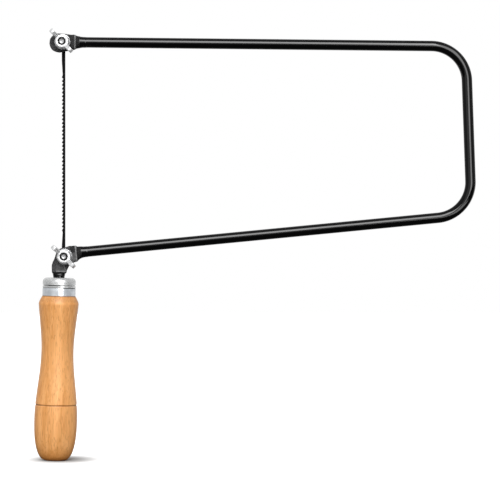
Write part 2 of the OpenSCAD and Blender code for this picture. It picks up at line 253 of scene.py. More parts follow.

# Burning of the handle's groove, painted shade on its shoulder and below the ferrule, and dirt with painted
# shade round the ferrule and the collar
GROOVE_BURN = 0.75
GROOVE_BURN_FADE = (0.2, 1.0)
# Painted shade below the ferrule and along the handle's shoulder
JOINT_SHADE = 0.9
JOINT_SHADE_FADE = (0.2, 0.7)
SHOULDER_SHADE = 0.35
SHOULDER_SHADE_FADE = (2.5, 4.5)
END_GRAIN_SLOPE = (0.12, 0.8)
SLOPE_STEP = 0.1
# Dirt and painted shade at the joint of ferrule and collar, the painted shade mostly on the right, and painted
# shade in the collar's groove that fades towards the sides
JOINT_GRIME_AND_SHADE = 0.2
JOINT_SHADE_SIDE = (0.25, 0.5)
FERRULE_JOINT_SHADE = (-0.5, -0.1)
COLLAR_JOINT_SHADE = (0, 0.2)
GROOVE_SHADE_CENTRE = -0.17
GROOVE_SHADE_FADE = (0.42, 0.52)
GROOVE_SHADE_LOSS = 0.8

# The blade
BLADE_FILM = 0.35
BLADE_WEB = 0.9
BLADE_TOOTH = 0.8
BLADE_RUN_OUT = 0.3
TOOTH_PITCH = 2.24
TOOTH_TIP = 0.72
TOOTH_SET = 0.06
PLAIN_LOW = 8.5
PLAIN_HIGH = 13.0
BLADE_TAPER = 8.2
BLADE_EDGE = 0.07

# Finishes
ENAMEL_DEEP = (0.0008, 0.0008, 0.0009, 1)
ENAMEL_THIN = (0.0016, 0.0016, 0.0018, 1)
FORGED_DARK = (0.026, 0.026, 0.027, 1)
FORGED_PALE = (0.078, 0.078, 0.08, 1)
# Grey of bare steel, mixed into the enamel as painted highlights on edges and painted light on faces of the
# forged ends
RUBBED_STEEL_HIGHLIGHT = (0.5, 0.5, 0.5, 1)
ENAMEL_SPECULAR = 0.375
ENAMEL_GLOSS = (0.07, 0.1)
ENAMEL_MATT = (0.7, 0.9)
ENAMEL_PEEL = 1.1
ENAMEL_PEEL_SHARE = 0.025
ENAMEL_RELIEF = 0.035
FORGED_SPECKS = 0.9
BLADE_DARK = (0.001, 0.001, 0.0011, 1)
BLADE_PALE = (0.003, 0.003, 0.0033, 1)
BLADE_RUBBED = (0.018, 0.018, 0.019, 1)
BLADE_RUBBED_SHARE = 0.3
BLADE_RUBBED_EDGE = (0.56, 0.7)
BLADE_SPECULAR = 0.02
BLADE_ROUGH = (0.42, 0.6)
BLADE_SPECKS = 1.4
BLADE_RELIEF = 0.01
BOLT_ZINC = (0.5, 0.505, 0.51)
WASHER_ZINC = (0.66, 0.67, 0.68)
NUT_ZINC = (0.8, 0.805, 0.81)
FERRULE_NICKEL = (0.76, 0.80, 0.84)
COLLAR_ZINC = (0.76, 0.77, 0.77)
ZINC_SHADE = 0.86
TURNED_SHARE = 3.0
# Dark colour of dirt and of painted shade in threads, bores, joints and the collar's groove
GRIME_AND_SHADE = (0.05, 0.05, 0.05, 1)
BEECH_DARK = (0.76, 0.328, 0.088, 1)
BEECH_PALE = (0.95, 0.455, 0.155, 1)
BEECH_LATE = (0.70, 0.275, 0.062, 1)
BEECH_FINE = (0.98, 0.525, 0.205, 1)
BEECH_LINE = (0.60, 0.225, 0.05, 1)
BEECH_FLECK = (0.48, 0.18, 0.035, 1)
BEECH_END = (0.74, 0.275, 0.05, 1)
# Dark of the scorched groove, also used as painted shade on the shoulder and below the ferrule
BEECH_BURNT_AND_SHADE = (0.17, 0.06, 0.014, 1)
BEECH_SPECULAR = 0.5
BEECH_ROUGH = (0.4, 0.52)
BEECH_OIL = 0.08
BEECH_OIL_ROUGH = 0.3
BEECH_RELIEF = 0.05
PITH = (-70.0, 46.0)
RING_GAP = 4.6
RING_WANDER = 11.0
RING_SLANT = 0.045

# The studio
VIEW_CENTRE = np.array([114.3, 0.0, 122.9])
VIEW_WIDTH = 292.5
VIEW_DISTANCE = 1300.0
KEY_AZIMUTH = -1
KEY_ELEVATION = 36
KEY_DISTANCE = 2500
KEY_SIZE = (1060, 1560)
KEY_RADIANCE = 9.5
ROOM_GLOW = (0.24, 0.34)
BACKDROP_GLOW = 0.4
AMBIENT_SIDES = (0.78, 0.68)
AMBIENT_BACKDROP = 0.2
WALL_GLOW = 0.65
WALL_SIDE = (-0.85, -0.6, 0.3, 0.5)
WALL_HEIGHT = (-0.2, -0.1, 0.25, 0.45)
BAND_GLOW = 5.5
BAND_SIDE = (0.04, 0.12, 0.52, 0.62)
BAND_HEIGHT = (-0.3, -0.2, 0.6, 0.75)
FLOOR_SIZE = 6
FLOOR_SEEN = (0.38, 0.38, 0.38, 1)
FLOOR_IN_GLOSS = (0.04, 0.04, 0.04, 1)
FLOOR_BOUNCE = (0.15, 0.15, 0.15, 1)
# The painted shadow round the handle's foot: an ellipse where the floor's glow is held back
SHADOW_SHIFT = (-0.18, -0.2, 0)
SHADOW_SCALE = (40, 34.5, 1)
SHADOW_FADE = (0.25, 1.25)
CARD_GLOW = 4.5
CARD_SIDE = (0.34, 0.38, 0.54, 0.62)
CARD_DEPTH = (-2.6, -2.0, -0.45, -0.2)


# Places on the saw


def unit(angle):
    """A unit step on a heading in the plane of the bow, as (x, z)."""
    return np.array([math.cos(math.radians(angle)), math.sin(math.radians(angle))])


def meet(p, a, q, b):
    """Where the line through p on heading a meets the line through q on heading b."""
    along, other = unit(a), unit(b)
    return p + along * np.cross(q - p, other) / np.cross(along, other)


def in_plane(name):
    """The axis of a wing nut, as a point of the bow's plane."""
    place = next(j["pos_m"] for j in frame["joints"] if j["name"] == name)
    return np.array([place[0], place[2]]) / MM


UPPER_BOLT = in_plane("upper_wing_nut_turn")
LOWER_BOLT = in_plane("lower_wing_nut_turn")
BLADE_LOW, BLADE_HIGH = (np.array(corner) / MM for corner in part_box("blade"))
HANDLE_AXIS = np.array(next(m["axis"] for m in frame["record"]["mounts"] if m["name"] == "grip"))
HANDLE_TILT = math.degrees(math.atan2(HANDLE_AXIS[0], HANDLE_AXIS[2]))
HANDLE_TURN = (0, math.radians(-HANDLE_TILT), 0)
FERRULE_Z = HANDLE_LEN
COLLAR_Z = FERRULE_Z + FERRULE_H


def on_axis(across, along):
    """A point of the bow's plane, given across and along the handle's axis."""
    return across * unit(-HANDLE_TILT) + along * unit(90 - HANDLE_TILT)


ARM_ROOT = LOWER_BOLT + (0, LOWER_ARM_OFFSET)
ARM_EDGE = ARM_ROOT - SHOULDER_DROP * unit(LOWER_ARM_RISE + 90) + LOWER_FLAT_LEN * unit(LOWER_ARM_RISE)
ARM_ROD = ARM_ROOT + (LOWER_FLAT_LEN + SHOULDER_LEN + NECK_LEN) * unit(LOWER_ARM_RISE)
STEM_EDGE = on_axis(STEM_OFFSET, STEM_Z)
STEM_BULGE = on_axis(0, STEM_Z + STEM_RISE)
STEM_HEADING = -90 - HANDLE_TILT


# Mesh making


def add_piece(name, points, faces, body, node, material, sharp=40):
    """Makes one piece from points in millimetres, on a body of the frame, in place of a node."""
    corners = [tuple(p) for p in np.asarray(points) * MM]
    mesh = bpy.data.meshes.new(name)
    mesh.from_pydata(corners, [], [tuple(map(int, f)) for f in faces])
    mesh.validate()
    mesh.shade_smooth()
    mesh.set_sharp_from_angle(angle=math.radians(sharp))
    mesh.materials.append(material)
    made = bpy.data.objects.new(name, mesh)
    bpy.context.scene.collection.objects.link(made)
    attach(made, body)
    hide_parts(node)
    return made


def paint(piece, name, values):
    """Stores one number for each point of a piece, for its material to read."""
    layer = piece.data.attributes.new(name, "FLOAT", "POINT")
    layer.data.foreach_set("value", np.asarray(values, np.float32))


def skin(field, low, high, step):
    """Points and faces of the surface where a field of distances is zero, one point to each cell."""
    axes = [np.arange(a - 2 * step, b + 2.5 * step, step) for a, b in zip(low, high)]
    value = field(*np.meshgrid(*axes, indexing="ij"))
    cells = [n - 1 for n in value.shape]
    total, count, edges = np.zeros((*cells, 3)), np.zeros(cells), []
    for axis in range(3):
        others = [a for a in range(3) if a != axis]
        near = value.take(range(cells[axis]), axis)
        far = value.take(range(1, cells[axis] + 1), axis)
        crossing = (near < 0) != (far < 0)
        point = np.stack(np.meshgrid(*[a[:n] for a, n in zip(axes, near.shape)], indexing="ij"), -1)
        point[..., axis] += step * near / np.where(crossing, near - far, 1)
        for i, j in ((0, 0), (0, 1), (1, 0), (1, 1)):
            window = [slice(None)] * 3
            window[others[0]] = slice(i, i + cells[others[0]])
            window[others[1]] = slice(j, j + cells[others[1]])
            seen = crossing[tuple(window)]
            total[seen] += point[tuple(window)][seen]
            count += seen
        edges.append((axis, np.eye(3, dtype=int)[others], np.argwhere(crossing), near[crossing] < 0))
    index = np.full(cells, -1)
    index[count > 0] = np.arange((count > 0).sum())
    faces = []
    for axis, (first, second), where, inside in edges:
        ring = [where - first - second, where - second, where, where - first]
        quads = np.stack([index[tuple(cell.T)] for cell in ring], 1)
        turned = inside == (axis == 1)
        quads[turned] = quads[turned][:, ::-1]
        faces.append(quads)
    return total[count > 0] / count[count > 0][:, None], np.concatenate(faces)


def lathe(profile, segments=128):
    """Points and faces of a profile of (radius, height) turned about the handle's axis.
    A profile that starts and ends on the axis is closed there, and any other is closed on itself."""
    around = np.linspace(0, 2 * math.pi, segments, endpoint=False)
    solid = profile[0][0] == 0
    points, rows = [], []
    for radius, height in profile:
        angles = around[:1] if radius == 0 else around
        rows.append(range(len(points), len(points) + len(angles)))
        points += [(radius * math.cos(a), radius * math.sin(a), height) for a in angles]
    faces = []
    for low, high in zip(rows, rows[1:] if solid else [*rows[1:], rows[0]]):
        for i in range(segments):
            j = (i + 1) % segments
            corners = [low[i % len(low)], low[j % len(low)], high[j % len(high)], high[i % len(high)]]
            faces.append(list(dict.fromkeys(corners)))
    return np.array(points), faces


def along_handle(points):
    """Points drawn on an upright axis, moved onto the handle's axis."""
    tilt = math.radians(HANDLE_TILT)
    x, y, z = np.asarray(points).T
    return np.stack([x * math.cos(tilt) + z * math.sin(tilt), y, z * math.cos(tilt) - x * math.sin(tilt)], 1)


def add_turned(name, profile, node, material, sharp=30, segments=128):
    """Makes a piece turned about the handle's axis. Gives the piece, and its points on an upright axis."""
    points, faces = lathe(profile, segments)
    return add_piece(name, along_handle(points), faces, "frame", node, material, sharp), points


def along_bolt(points, bolt):
    """Points drawn on an upright axis, moved onto a bolt, with their top towards the wing nut."""
    x, y, z = np.asarray(points).T
    return np.stack([bolt[0] + x, -z, bolt[1] + y], 1)


def arc(centre, radius, start, end, steps=8):
    """Points along an arc, as (radius, height) for a profile."""
    angles = [start + (end - start) * i / steps for i in range(steps + 1)]
    return [tuple(np.array(centre) + radius * unit(a)) for a in angles]


def sweep(path, radius, segments=48):
    """Points and faces of a round rod along a path in the bow's plane, closed at both ends."""
    run = np.gradient(path, axis=0)
    run /= np.linalg.norm(run, axis=1)[:, None]
    points, faces = [], []
    for (px, pz), (tx, tz) in zip(path, run):
        for a in np.linspace(0, 2 * math.pi, segments, endpoint=False):
            side = radius * math.cos(a)
            points.append((px - tz * side, radius * math.sin(a), pz + tx * side))
    last = (len(path) - 1) * segments
    for low in range(0, last, segments):
        high = low + segments
        for i in range(segments):
            j = (i + 1) % segments
            faces.append((low + i, low + j, high + j, high + i))
    return points, [*faces, range(segments - 1, -1, -1), range(last, last + segments)]


# Fields of distances


def blend(a, b, reach):
    """The union of two fields, with a fillet."""
    return np.minimum(a, b) - np.maximum(reach - np.abs(a - b), 0) ** 2 / (4 * reach)


def carve(a, b, reach):
    """What two fields have in common, with a rounded edge."""
    return -blend(-a, -b, reach)


def round_edge(a, b, rim):
    """What two fields have in common, with an edge of a stated radius."""
    outside = np.hypot(np.maximum(a + rim, 0), np.maximum(b + rim, 0))
    return np.minimum(np.maximum(a, b) + rim, 0) + outside - rim


def slab(outline, half, depth, rim):
    """An outline given a thickness, with round rims."""
    return round_edge(outline, np.abs(depth) - half, rim)


def capsule(p, q, start, start_r, end, end_r):
    """Distance to the outline round two circles and the lines that touch both."""
    run = np.subtract(end, start)
    length = math.hypot(*run)
    along = ((p - start[0]) * run[0] + (q - start[1]) * run[1]) / length
    across = np.abs((q - start[1]) * run[0] - (p - start[0]) * run[1]) / length
    slope = (start_r - end_r) / length
    flat = math.sqrt(1 - slope * slope)
    place = along * flat - across * slope
    sides = across * flat + along * slope - start_r
    near = np.hypot(across, along) - start_r
    far = np.hypot(across, along - length) - end_r
    return np.where(place < 0, near, np.where(place > flat * length, far, sides))


def ripple(x, y, z, size, seed):
    """Smooth unevenness of about one, from waves in chance directions."""
    chance = np.random.default_rng(seed)
    total = 0
    for _ in range(12):
        wave = chance.normal(size=3)
        wave *= 2 * math.pi / (size * chance.uniform(0.6, 1.8) * np.linalg.norm(wave))
        total = total + np.sin(wave[0] * x + wave[1] * y + wave[2] * z + chance.uniform(0, 2 * math.pi))
    return total / math.sqrt(6)


def smooth_step(low, high, value):
    """Goes from 0 at low to 1 at high, without corners."""
    share = np.clip((value - low) / (high - low), 0, 1)
    return share * share * (3 - 2 * share)


def local(x, z, origin, heading):
    """Places along and across a heading, from an origin in the bow's plane."""
    step = unit(heading)
    dx, dz = x - origin[0], z - origin[1]
    return dx * step[0] + dz * step[1], dz * step[0] - dx * step[1]


def forged_neck(along, across, depth, shoulder_half=SHOULDER_HALF):
    """The shoulder that steps up from a flattened end, and the neck that narrows to the rod.
    It starts at the shoulder and ends inside the rod, a little thinner than the rod is there."""
    left = 1 - np.clip(along / NECK_TAPER, 0, 1)
    half_width = NECK_R + (shoulder_half - NECK_R) * left
    half_depth = NECK_R + NECK_SWELL * left
    round_neck = (np.hypot(across / half_width, depth / half_depth) - 1) * half_depth
    slope = (SHOULDER_TOP - FLAT_HALF) / SHOULDER_LEN
    step = (np.abs(depth) - FLAT_HALF - slope * along) / math.hypot(1, slope)
    end = along - SHOULDER_LEN - NECK_RUN
    start = -along - 2 * SHOULDER_LEN
    return np.maximum(np.maximum(carve(round_neck, step, SHOULDER_ROUND), end), start)


def rod_start(along, across, depth):
    """The first stretch of the rod beyond a neck, just under the rod's own surface."""
    half_lap = 0.5 * ROD_LAP
    return np.maximum(np.hypot(across, depth) - ROD_R - LAP_SKIN, np.abs(along - half_lap) - half_lap)


def forge(solid, x, y, z, bolt, seed):
    """Cuts the square hole for a bolt, and gives the surface its hammered unevenness."""
    hole = np.maximum(np.abs(x - bolt[0]), np.abs(z - bolt[1])) - HOLE_HALF
    hammered = 1 - smooth_step(*HAMMER_REACH, np.hypot(x - bolt[0], z - bolt[1]))
    dents = ripple(x, y, z, HAMMER_GRAIN, seed) + ripple(x, y, z, 3 * HAMMER_GRAIN, seed + 1)
    return carve(solid + HAMMER_DEPTH * hammered * dents, -hole, HOLE_ROUND)


def upper_eye_field(x, y, z):
    """The field of the upper end: a flat eye, its shoulder and the neck of the rod."""
    along, across = local(x, z, UPPER_BOLT, -UPPER_ARM_FALL)
    shoulder = (UPPER_FLAT_LEN + SHOULDER_LEN, 0)
    outline = capsule(along, across, (-EYE_SET, -EYE_DROP), EYE_R, shoulder, SHOULDER_HALF)
    face = np.maximum(slab(outline, FLAT_HALF, y, RIM_ROUND), along - UPPER_FLAT_LEN - FLAT_LAP)
    solid = blend(face, forged_neck(along - UPPER_FLAT_LEN, across, y), SHOULDER_FILLET)
    solid = blend(solid, rod_start(along - UPPER_FLAT_LEN - SHOULDER_LEN, across, y), SHOULDER_FILLET)
    return forge(solid, x, y, z, UPPER_BOLT, UPPER_SEED)


def along_lower_arm(x, z):
    """Places along the lower arm from its shoulder, and across a neck that climbs to the rod."""
    along, across = local(x, z, ARM_EDGE, LOWER_ARM_RISE)
    return along, across - SHOULDER_DROP * np.clip(along / (SHOULDER_LEN + NECK_LEN), 0, 1)


def lower_elbow_field(x, y, z):
    """The field of the lower end: a flat elbow round the bolt, with a neck to the rod and one to the tang."""
    arm_end = ARM_EDGE + SHOULDER_LEN * unit(LOWER_ARM_RISE)
    stem_end = STEM_EDGE + SHOULDER_LEN * unit(STEM_HEADING)
    arm = capsule(x, z, LOWER_BOLT, ELBOW_R, arm_end, SHOULDER_HALF)
    bulge = capsule(x, z, LOWER_BOLT, ELBOW_R, STEM_BULGE, STEM_R)
    stem = capsule(x, z, STEM_BULGE, STEM_R, stem_end, STEM_SHOULDER_HALF)
    crest = capsule(x, z, LOWER_BOLT + ELBOW_CREST, ELBOW_CREST_R, ARM_EDGE + ELBOW_CREST_END, SHOULDER_HALF)
    outline = blend(np.minimum(arm, crest), np.minimum(bulge, stem), ELBOW_FILLET)
    along_arm, across_arm = along_lower_arm(x, z)
    along_stem, across_stem = local(x, z, STEM_EDGE, STEM_HEADING)
    face = slab(outline, FLAT_HALF, y, RIM_ROUND)
    face = np.maximum(face, np.maximum(along_arm, along_stem) - FLAT_LAP)
    bevel = np.abs(y) - FLAT_HALF + STEM_BEVEL * (-STEM_BEVEL_EDGE - across_stem)
    face = carve(face, bevel / math.hypot(1, STEM_BEVEL), STEM_BEVEL_ROUND)
    solid = blend(face, forged_neck(along_arm, across_arm, y), SHOULDER_FILLET)
    solid = blend(solid, forged_neck(along_stem, across_stem, y, STEM_SHOULDER_HALF), SHOULDER_FILLET)
    along_rod, across_rod = local(x, z, ARM_ROD - NECK_LEN * unit(LOWER_ARM_RISE), LOWER_ARM_RISE)
    solid = blend(solid, rod_start(along_rod, across_rod, y), SHOULDER_FILLET)
    return forge(solid, x, y, z, LOWER_BOLT, LOWER_SEED)


def wing_nut_field(bolt, angle):
    """The field of a wing nut: a tapered hub, two wings that lean out towards the viewer, and the bore."""

    def field(x, y, z):
        along, across = local(x, z, bolt, -angle)
        height = -y - NUT_SEAT
        radius = np.hypot(along, across)
        flank = HUB_BASE_R + (HUB_TOP_R - HUB_BASE_R) * height / HUB_H
        hub = np.maximum(round_edge(radius - flank, height - HUB_H, HUB_ROUND), -height)
        side = capsule(np.abs(along), height, WING_ROOT, WING_ROOT_R, WING_TIP, WING_TIP_R)
        wings = slab(side, WING_HALF, across, WING_ROUND)
        body = blend(hub, wings, WING_FILLET) + CAST_DEPTH * ripple(x, y, z, CAST_GRAIN, int(angle))
        bore = BORE_R + np.maximum(height - HUB_H + BORE_CHAMFER, 0) - radius
        return np.maximum(body, bore)

    return field


def clamp_bolt_field(bolt):
    """The field of a clamp bolt: domed head, slotted square neck and threaded stud."""
    dome_r = (BOLT_HEAD_R**2 + BOLT_DOME**2) / (2 * BOLT_DOME)
    dome_centre = JAW_FACE - BOLT_RIM - BOLT_DOME + dome_r
    neck_middle = (JAW_FACE - BOLT_RIM / 2 + NECK_END) / 2
    slot_back = BLADE_HIGH[0] + SLOT_PLAY - bolt[0]
    slot_middle = (JAW_FACE + SLOT_END) / 2
    slot_half = (SLOT_END - JAW_FACE) / 2

    def field(x, y, z):
        across, up, height = x - bolt[0], z - bolt[1], -y
        radius = np.hypot(across, up)
        dome = np.hypot(radius, height - dome_centre) - dome_r
        head = carve(carve(radius - BOLT_HEAD_R, dome, BOLT_HEAD_ROUND), height - JAW_FACE, JAW_ROUND)
        square = np.maximum(np.abs(across), np.abs(up)) - BOLT_NECK_HALF
        square = carve(square, radius - BOLT_NECK_CORNER_R, BOLT_NECK_ROUND)
        neck = slab(square, NECK_END - neck_middle, height - neck_middle, BOLT_NECK_RIM)
        slot = np.maximum(across - slot_back, np.abs(height - slot_middle) - slot_half)
        turn = height / THREAD_PITCH - np.arctan2(up, across) / (2 * math.pi)
        thread = STUD_R - THREAD_DEPTH * np.abs(2 * (turn % 1) - 1)
        chamfer = (radius + height - STUD_R - STUD_END + STUD_CHAMFER) * STUD_CHAMFER_SLOPE
        stud = carve((radius - thread) * THREAD_SLOPE, chamfer, STUD_EDGE)
        cup = STUD_CUP * np.maximum(1 - (radius / STUD_FACE_R) ** 2, 0)
        stud = np.maximum(np.maximum(stud, height - STUD_END + cup), -height)
        return np.maximum(np.minimum(head, np.minimum(neck, stud)), -slot)

    return field


# Shader making


def shade(tree, kind, inputs=None, **settings):
    """Adds a node, sets it up, and links or sets its inputs by name or number."""
    made = tree.nodes.new(kind)
    for name, value in settings.items():
        setattr(made, name, value)
    for name, value in (inputs or {}).items():
        if isinstance(value, bpy.types.NodeSocket):
            tree.links.new(value, made.inputs[name])
        else:
            made.inputs[name].default_value = value
    return made


def ramp(tree, value, low, high, to_low=0.0, to_high=1.0):
    """A value moved smoothly from one range to another."""
    limits = {"Value": value, "From Min": low, "From Max": high, "To Min": to_low, "To Max": to_high}
    return shade(tree, "ShaderNodeMapRange", limits, interpolation_type="SMOOTHSTEP").outputs["Result"]


def mixed(tree, share, a, b):
    """Two colours mixed by a share."""
    return shade(tree, "ShaderNodeMix", {0: share, 6: a, 7: b}, data_type="RGBA").outputs[2]


def mixed_value(tree, share, a, b):
    """Two numbers mixed by a share."""
    return shade(tree, "ShaderNodeMix", {0: share, 2: a, 3: b}).outputs[0]


def math_node(tree, operation, *values):
    """The result of one operation on numbers or sockets."""
    return shade(tree, "ShaderNodeMath", dict(enumerate(values)), operation=operation).outputs[0]


def vector_math(tree, operation, *values):
    """The outputs of one operation on places."""
    return shade(tree, "ShaderNodeVectorMath", dict(enumerate(values)), operation=operation).outputs


def plus(tree, a, b):
    """The sum of two values."""
    return math_node(tree, "ADD", a, b)


def times(tree, a, b):
    """The product of two values."""
    return math_node(tree, "MULTIPLY", a, b)


def larger(tree, a, b):
    """The larger of two values."""
    return math_node(tree, "MAXIMUM", a, b)


def between(tree, value, start, full, fade, end):
    """1 between two limits, with a soft start and end."""
    return times(tree, ramp(tree, value, start, full), ramp(tree, value, fade, end, 1.0, 0.0))


def painted(tree, name):
    """The number that paint stored for a piece under a name."""
    return shade(tree, "ShaderNodeAttribute", attribute_name=name).outputs["Fac"]


def object_place(tree):
    """A point's place on the saw, in metres."""
    return shade(tree, "ShaderNodeTexCoord").outputs["Object"]


def new_group(name, inputs, outputs):
    """A node group with named values in and out."""
    group = bpy.data.node_groups.new(name, "ShaderNodeTree")
    for label, default in inputs:
        socket = group.interface.new_socket(label, in_out="INPUT", socket_type="NodeSocketFloat")
        socket.default_value = default
    for label in outputs:
        group.interface.new_socket(label, in_out="OUTPUT", socket_type="NodeSocketFloat")
    return group, group.nodes.new("NodeGroupInput").outputs, group.nodes.new("NodeGroupOutput").inputs


def place_group(tree, group, **values):
    """Places a node group with its own values, and gives its outputs."""
    return shade(tree, "ShaderNodeGroup", values, node_tree=group).outputs


def speckle_group():
    """Clouds and finer specks of a stated size in millimetres, each from 0 to 1."""
    group, given, out = new_group("speckle", [("Size", 1.0)], ["Clouds", "Specks"])
    place = object_place(group)
    scale = math_node(group, "DIVIDE", 1 / MM, given["Size"])
    clouds = shade(group, "ShaderNodeTexNoise", {"Vector": place, "Scale": scale, "Detail": 3.0})
    finer = times(group, scale, 5.0)
    specks = shade(group, "ShaderNodeTexNoise", {"Vector": place, "Scale": finer, "Detail": 2.0})
    group.links.new(ramp(group, clouds.outputs["Fac"], 0.3, 0.7), out["Clouds"])
    group.links.new(ramp(group, specks.outputs["Fac"], 0.35, 0.65), out["Specks"])
    return group


def turned_group():
    """Fine rings left by turning, along the handle's axis, at a stated pitch in millimetres."""
    group, given, out = new_group("turned", [("Pitch", 0.3)], ["Rings"])
    lean = {"Vector": object_place(group), "Rotation": HANDLE_TURN}
    upright = shade(group, "ShaderNodeMapping", lean).outputs[0]
    height = shade(group, "ShaderNodeSeparateXYZ", {"Vector": upright}).outputs["Z"]
    scale = math_node(group, "DIVIDE", 1 / MM, given["Pitch"])
    values = {"W": height, "Scale": scale, "Detail": 2.0}
    rings = shade(group, "ShaderNodeTexNoise", values, noise_dimensions="1D")
    group.links.new(rings.outputs["Fac"], out["Rings"])
    return group


SPECKLE = speckle_group()
TURNED = turned_group()


def new_material(name):
    """A material with one shader that is ready for its values."""
    material = bpy.data.materials.new(name)
    material.use_nodes = True
    tree = material.node_tree
    return material, tree, tree.nodes["Principled BSDF"]


def connect(tree, shader, colour, roughness, normal):
    """Links what changes over a surface to its shader."""
    tree.links.new(colour, shader.inputs["Base Color"])
    tree.links.new(roughness, shader.inputs["Roughness"])
    tree.links.new(normal, shader.inputs["Normal"])


def bump(tree, height, strength, depth):
    """A normal from a height, where depth is in millimetres."""
    values = {"Height": height, "Strength": strength, "Distance": depth * MM}
    return shade(tree, "ShaderNodeBump", values).outputs["Normal"]


def bow_enamel():
    """Black enamel, glossy on the rod and dull and uneven where the ends are forged, with bare-steel grey
    mixed in as painted highlights along edges and painted light on faces.
    """
    material, tree, shader = new_material("bow_enamel")
    shader.inputs["Specular IOR Level"].default_value = ENAMEL_SPECULAR
    matt = painted(tree, "matt")
    peel = place_group(tree, SPECKLE, Size=ENAMEL_PEEL)
    scale = place_group(tree, SPECKLE, Size=FORGED_SPECKS)
    gloss = mixed(tree, peel["Specks"], ENAMEL_DEEP, ENAMEL_THIN)
    dull = mixed(tree, scale["Clouds"], FORGED_DARK, FORGED_PALE)
    # Painted highlight: bare-steel grey along edges and on faces, standing in for light caught there, with
    # some real wear of the enamel
    rubbed_and_lit = times(tree, painted(tree, "wear_and_highlight"), ramp(tree, scale["Specks"], 0, 1, 0.6, 1.0))
    colour = mixed(tree, rubbed_and_lit, mixed(tree, painted(tree, "forging"), gloss, dull), RUBBED_STEEL_HIGHLIGHT)
    rough_gloss = ramp(tree, peel["Clouds"], 0, 1, *ENAMEL_GLOSS)
    rough_dull = ramp(tree, scale["Specks"], 0, 1, *ENAMEL_MATT)
    ripples = times(tree, peel["Clouds"], ENAMEL_PEEL_SHARE)
    height = plus(tree, times(tree, scale["Specks"], matt), ripples)
    rough = mixed_value(tree, matt, rough_gloss, rough_dull)
    connect(tree, shader, colour, rough, bump(tree, height, 0.5, ENAMEL_RELIEF))
    return material


def plating(name, tint, roughness, grain, relief, turned=0.0, bare=1.0):
    """Plated metal: a tint, a range of roughness, cloudy grain of a size, and rings where it is turned.
    Where bare is below one, a milky film of the plating lies over the metal."""
    material, tree, shader = new_material(name)
    shader.inputs["Metallic"].default_value = bare
    cloud = place_group(tree, SPECKLE, Size=grain)
    darker = tuple(ZINC_SHADE * c for c in tint)
    colour = mixed(tree, cloud["Clouds"], (*darker, 1), (*tint, 1))
    # Dirt and painted shade in threads, bores, joints and the collar's groove
    colour = mixed(tree, painted(tree, "grime_and_shade"), colour, GRIME_AND_SHADE)
    height = cloud["Specks"]
    if turned:
        rings = place_group(tree, TURNED, Pitch=turned)["Rings"]
        height = plus(tree, times(tree, rings, TURNED_SHARE), height)
    rough = ramp(tree, cloud["Specks"], 0, 1, *roughness)
    connect(tree, shader, colour, rough, bump(tree, height, 0.35, relief))
    return material


def blade_steel():
    """Blackened spring steel, a little paler where its edges rub."""
    material, tree, shader = new_material("blade_steel")
    shader.inputs["Specular IOR Level"].default_value = BLADE_SPECULAR
    cloud = place_group(tree, SPECKLE, Size=BLADE_SPECKS)
    colour = mixed(tree, cloud["Clouds"], BLADE_DARK, BLADE_PALE)
    edge = ramp(tree, shade(tree, "ShaderNodeNewGeometry").outputs["Pointiness"], *BLADE_RUBBED_EDGE)
    colour = mixed(tree, times(tree, edge, BLADE_RUBBED_SHARE), colour, BLADE_RUBBED)
    rough = ramp(tree, cloud["Specks"], 0, 1, *BLADE_ROUGH)
    connect(tree, shader, colour, rough, bump(tree, cloud["Specks"], 0.3, BLADE_RELIEF))
    return material


